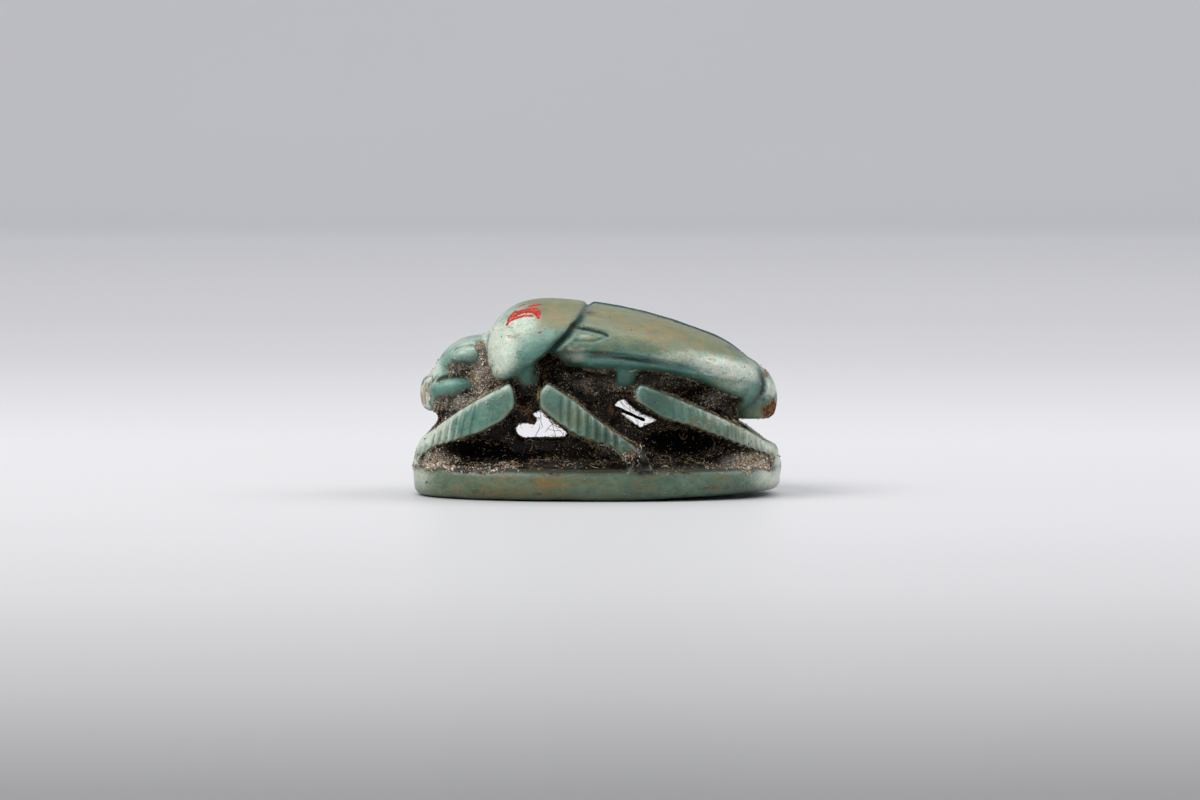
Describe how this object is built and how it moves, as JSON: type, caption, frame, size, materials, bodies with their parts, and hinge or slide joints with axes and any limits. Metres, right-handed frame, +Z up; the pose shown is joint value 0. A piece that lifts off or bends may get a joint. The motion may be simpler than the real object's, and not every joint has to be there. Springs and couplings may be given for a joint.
{
  "type": "scarab amulet",
  "caption": "Carved beetle amulet on an oval base plate, legs cut free in openwork, glazed turquoise green, with a lengthwise hole for a cord.",
  "frame": {"origin": "centre of the bounding box, on the flat underside of the base plate", "axes": "+Z up out of the back, +X from the head to the tail, Y across; the beetle is mirrored about the XZ plane"},
  "size_m": [0.018, 0.0128, 0.0096],
  "materials": {
    "glazed_stone": "worn turquoise-green glaze over pale carved stone, brown stains, dark soil in the recesses"
  },
  "bodies": {
    "root": {"scarab": "glazed_stone"}
  },
  "joints": []
}
